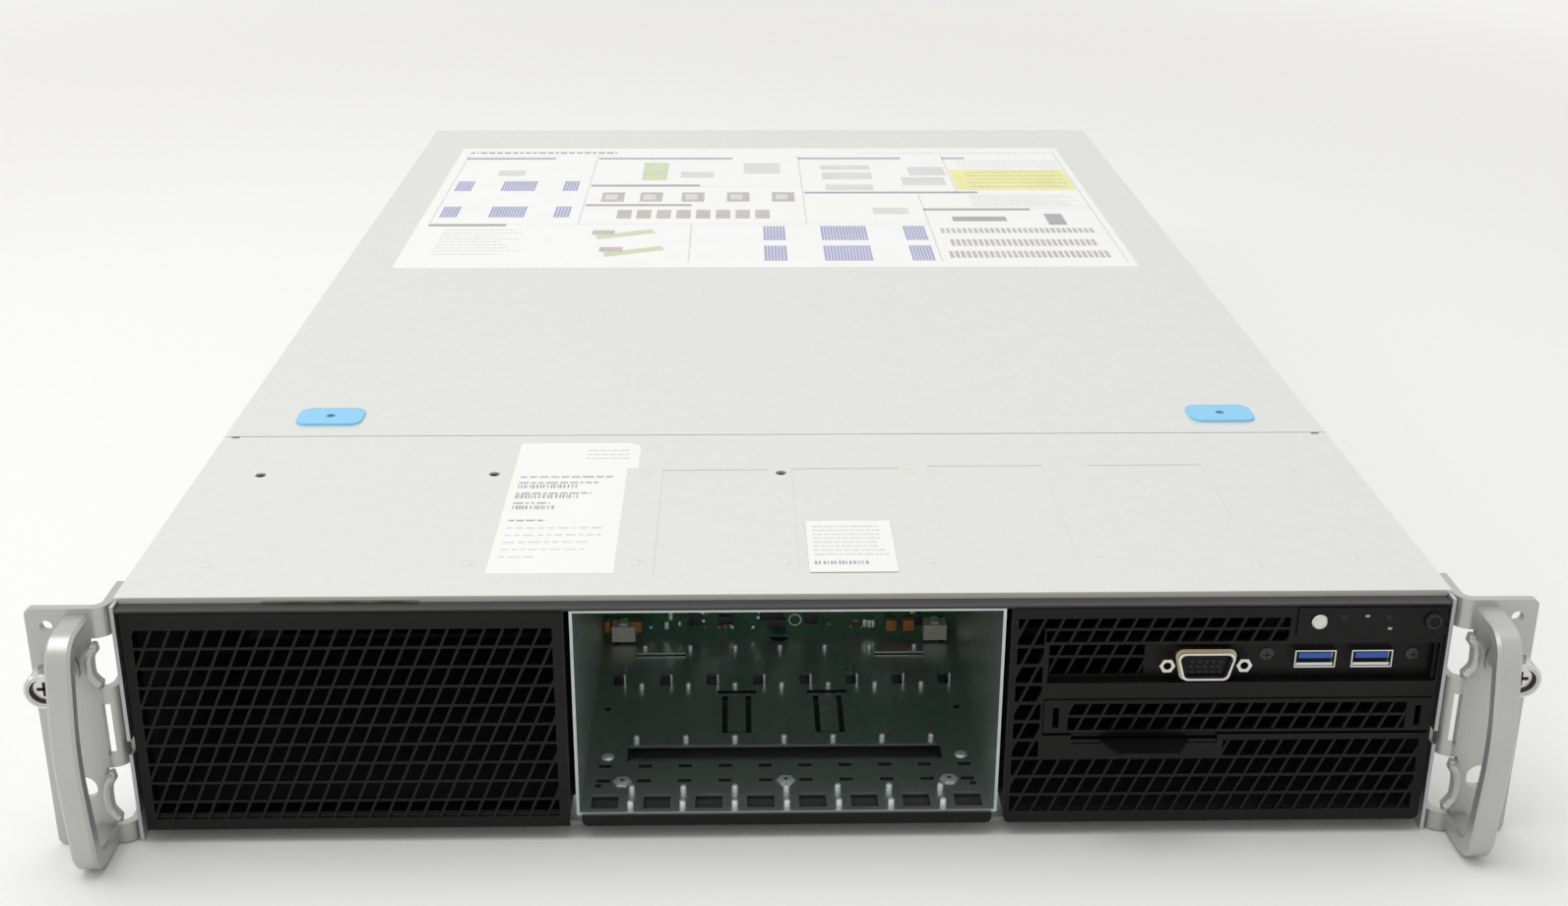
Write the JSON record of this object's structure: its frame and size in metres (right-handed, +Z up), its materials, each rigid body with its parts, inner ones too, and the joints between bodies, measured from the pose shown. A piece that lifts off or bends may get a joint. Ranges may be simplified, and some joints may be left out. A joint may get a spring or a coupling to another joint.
{
  "type": "2u rack server",
  "caption": "Low wide rack server with an open middle drive bay, mesh fillers either side, a service panel with ports, rack handles and a lift-off steel cover.",
  "frame": {"origin": "centre of the chassis underside, which rests on a shelf or rails", "axes": "+X across the front to the viewer's right, +Y from front to back, +Z up"},
  "size_m": [0.4826, 0.7642, 0.0882],
  "materials": {
    "sheet_steel": "galvanised, satin",
    "cover_steel": "galvanised, satin",
    "black_mesh": "satin black",
    "silver_casting": "silver-grey paint, satin",
    "black_plastic": "matte black",
    "silver_plastic": "satin silver",
    "blue_pad": "matte light blue",
    "white_socket": "matte white",
    "bright_steel": "bright plated",
    "dark_steel": "satin",
    "circuit_board": "solder-masked green",
    "fin_aluminium": "satin"
  },
  "bodies": {
    "chassis": {"air_duct": "black_plastic", "backplane_sockets": "white_socket", "bay_sill": "black_mesh", "board_standoffs": "bright_steel", "cage_rails": "sheet_steel", "chassis_base": "sheet_steel", "control_panel": "black_plastic", "drive_backplane": "circuit_board", "drive_cage_left": "sheet_steel", "drive_cage_middle": "sheet_steel", "drive_cage_right": "sheet_steel", "fan_housings": "black_plastic", "fan_tray": "black_plastic", "front_top_panel": "cover_steel", "io_plate": "black_mesh", "left_bay_filler": "black_mesh", "memory_modules": "circuit_board", "memory_sockets": "black_plastic", "processor_cooler_left": "fin_aluminium", "processor_cooler_right": "fin_aluminium", "rack_handle_left": "silver_casting", "rack_handle_right": "silver_casting", "rear_port_shield": "bright_steel", "rear_ports": "bright_steel", "rear_wall": "sheet_steel", "riser_cards": "circuit_board", "service_panel": "black_mesh", "slim_bay_filler": "black_mesh", "slot_covers": "dark_steel", "supply_bay": "sheet_steel", "system_board": "circuit_board", "tag_guide": "sheet_steel", "thumbscrew_ferrule_left": "bright_steel", "thumbscrew_ferrule_right": "bright_steel", "top_rail": "black_mesh", "usb_ports": "bright_steel", "video_jackscrews": "bright_steel", "video_socket": "black_plastic"},
    "cover": {"top_cover": "cover_steel", "cover_thumb_pads": "blue_pad"},
    "id_button": {"id_button": "silver_plastic"},
    "power_button": {"power_button": "black_plastic"},
    "asset_tag": {"asset_tag": "black_plastic"},
    "thumbscrew_left": {"thumbscrew_left": "bright_steel"},
    "thumbscrew_right": {"thumbscrew_right": "bright_steel"},
    "fan_rotor_1": {"fan_rotor_1": "black_plastic"},
    "fan_rotor_2": {"fan_rotor_2": "black_plastic"},
    "fan_rotor_3": {"fan_rotor_3": "black_plastic"},
    "fan_rotor_4": {"fan_rotor_4": "black_plastic"},
    "power_supply_1": {"power_supply_1": "dark_steel", "supply_grip_1": "dark_steel"},
    "supply_latch_1": {"supply_latch_1": "dark_steel"},
    "power_supply_2": {"power_supply_2": "dark_steel", "supply_grip_2": "dark_steel"},
    "supply_latch_2": {"supply_latch_2": "dark_steel"}
  },
  "joints": [
    {"name": "cover_lift", "type": "slide", "parent": "chassis", "child": "cover", "axis": [0, 0, 1], "range_m": [0, 0.12]},
    {"name": "id_press", "type": "slide", "parent": "chassis", "child": "id_button", "axis": [0, 1, 0], "range_m": [0, 0.001], "stiffness_N_per_m": 800},
    {"name": "power_press", "type": "slide", "parent": "chassis", "child": "power_button", "axis": [0, 1, 0], "range_m": [0, 0.001], "stiffness_N_per_m": 800},
    {"name": "tag_slide", "type": "slide", "parent": "chassis", "child": "asset_tag", "axis": [0, -1, 0], "range_m": [0, 0.06]},
    {"name": "thumbscrew_left_turn", "type": "hinge", "parent": "chassis", "child": "thumbscrew_left", "pos_m": [-0.23255, -0.358, 0.0659], "axis": [0, 1, 0], "continuous": true},
    {"name": "thumbscrew_right_turn", "type": "hinge", "parent": "chassis", "child": "thumbscrew_right", "pos_m": [0.23255, -0.358, 0.0659], "axis": [0, 1, 0], "continuous": true},
    {"name": "fan_1_spin", "type": "hinge", "parent": "chassis", "child": "fan_rotor_1", "pos_m": [-0.15, -0.206, 0.0427], "axis": [0, 1, 0], "continuous": true},
    {"name": "fan_2_spin", "type": "hinge", "parent": "chassis", "child": "fan_rotor_2", "pos_m": [-0.05, -0.206, 0.0427], "axis": [0, 1, 0], "continuous": true},
    {"name": "fan_3_spin", "type": "hinge", "parent": "chassis", "child": "fan_rotor_3", "pos_m": [0.05, -0.206, 0.0427], "axis": [0, 1, 0], "continuous": true},
    {"name": "fan_4_spin", "type": "hinge", "parent": "chassis", "child": "fan_rotor_4", "pos_m": [0.15, -0.206, 0.0427], "axis": [0, 1, 0], "continuous": true},
    {"name": "supply_1_slide", "type": "slide", "parent": "chassis", "child": "power_supply_1", "axis": [0, 1, 0], "range_m": [0, 0.19]},
    {"name": "latch_1_press", "type": "slide", "parent": "power_supply_1", "child": "supply_latch_1", "axis": [-1, 0, 0], "range_m": [0, 0.002], "stiffness_N_per_m": 900},
    {"name": "supply_2_slide", "type": "slide", "parent": "chassis", "child": "power_supply_2", "axis": [0, 1, 0], "range_m": [0, 0.19]},
    {"name": "latch_2_press", "type": "slide", "parent": "power_supply_2", "child": "supply_latch_2", "axis": [-1, 0, 0], "range_m": [0, 0.002], "stiffness_N_per_m": 900}
  ]
}
